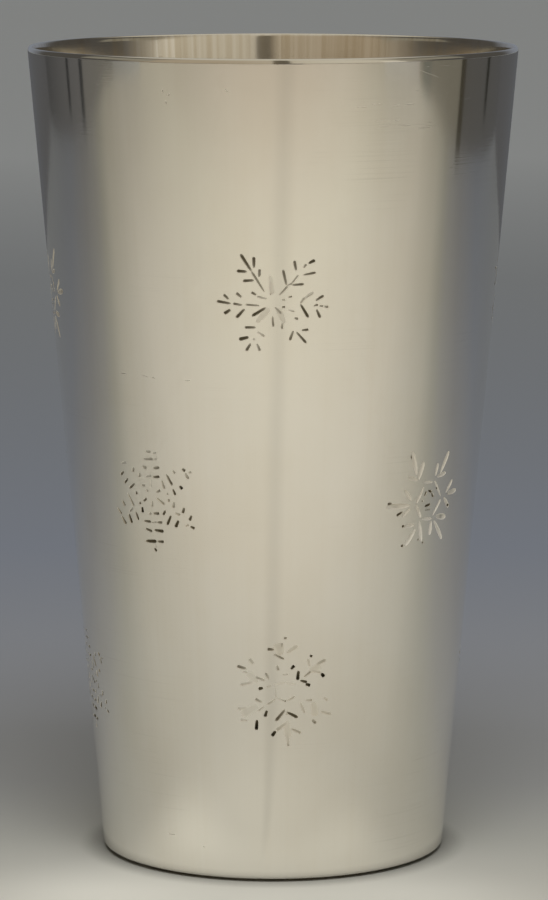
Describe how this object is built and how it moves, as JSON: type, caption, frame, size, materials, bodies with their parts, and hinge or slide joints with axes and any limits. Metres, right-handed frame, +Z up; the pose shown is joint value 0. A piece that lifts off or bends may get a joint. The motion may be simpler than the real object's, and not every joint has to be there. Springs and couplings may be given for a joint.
{
  "type": "tumbler",
  "caption": "Tall tapered drinking tumbler of polished silver with a rounded lip wire, a let-in domed base on a foot wire, and engraved snowflakes round the wall.",
  "frame": {"origin": "centre of the circle on which the foot stands, in the plane of the table", "axes": "+Z up along the axis of the cup, -Y towards the camera of the picture, +X to its right"},
  "size_m": [0.082, 0.082, 0.1364],
  "materials": {
    "polished_silver": "polished",
    "inside_silver": "gloss",
    "foot_silver": "gloss",
    "hard_solder": "satin"
  },
  "bodies": {
    "root": {"body_wall": "polished_silver", "lip_wire": "polished_silver", "base_disc": "inside_silver", "foot_wire": "foot_silver", "base_solder": "hard_solder", "foot_solder": "hard_solder"}
  },
  "joints": []
}
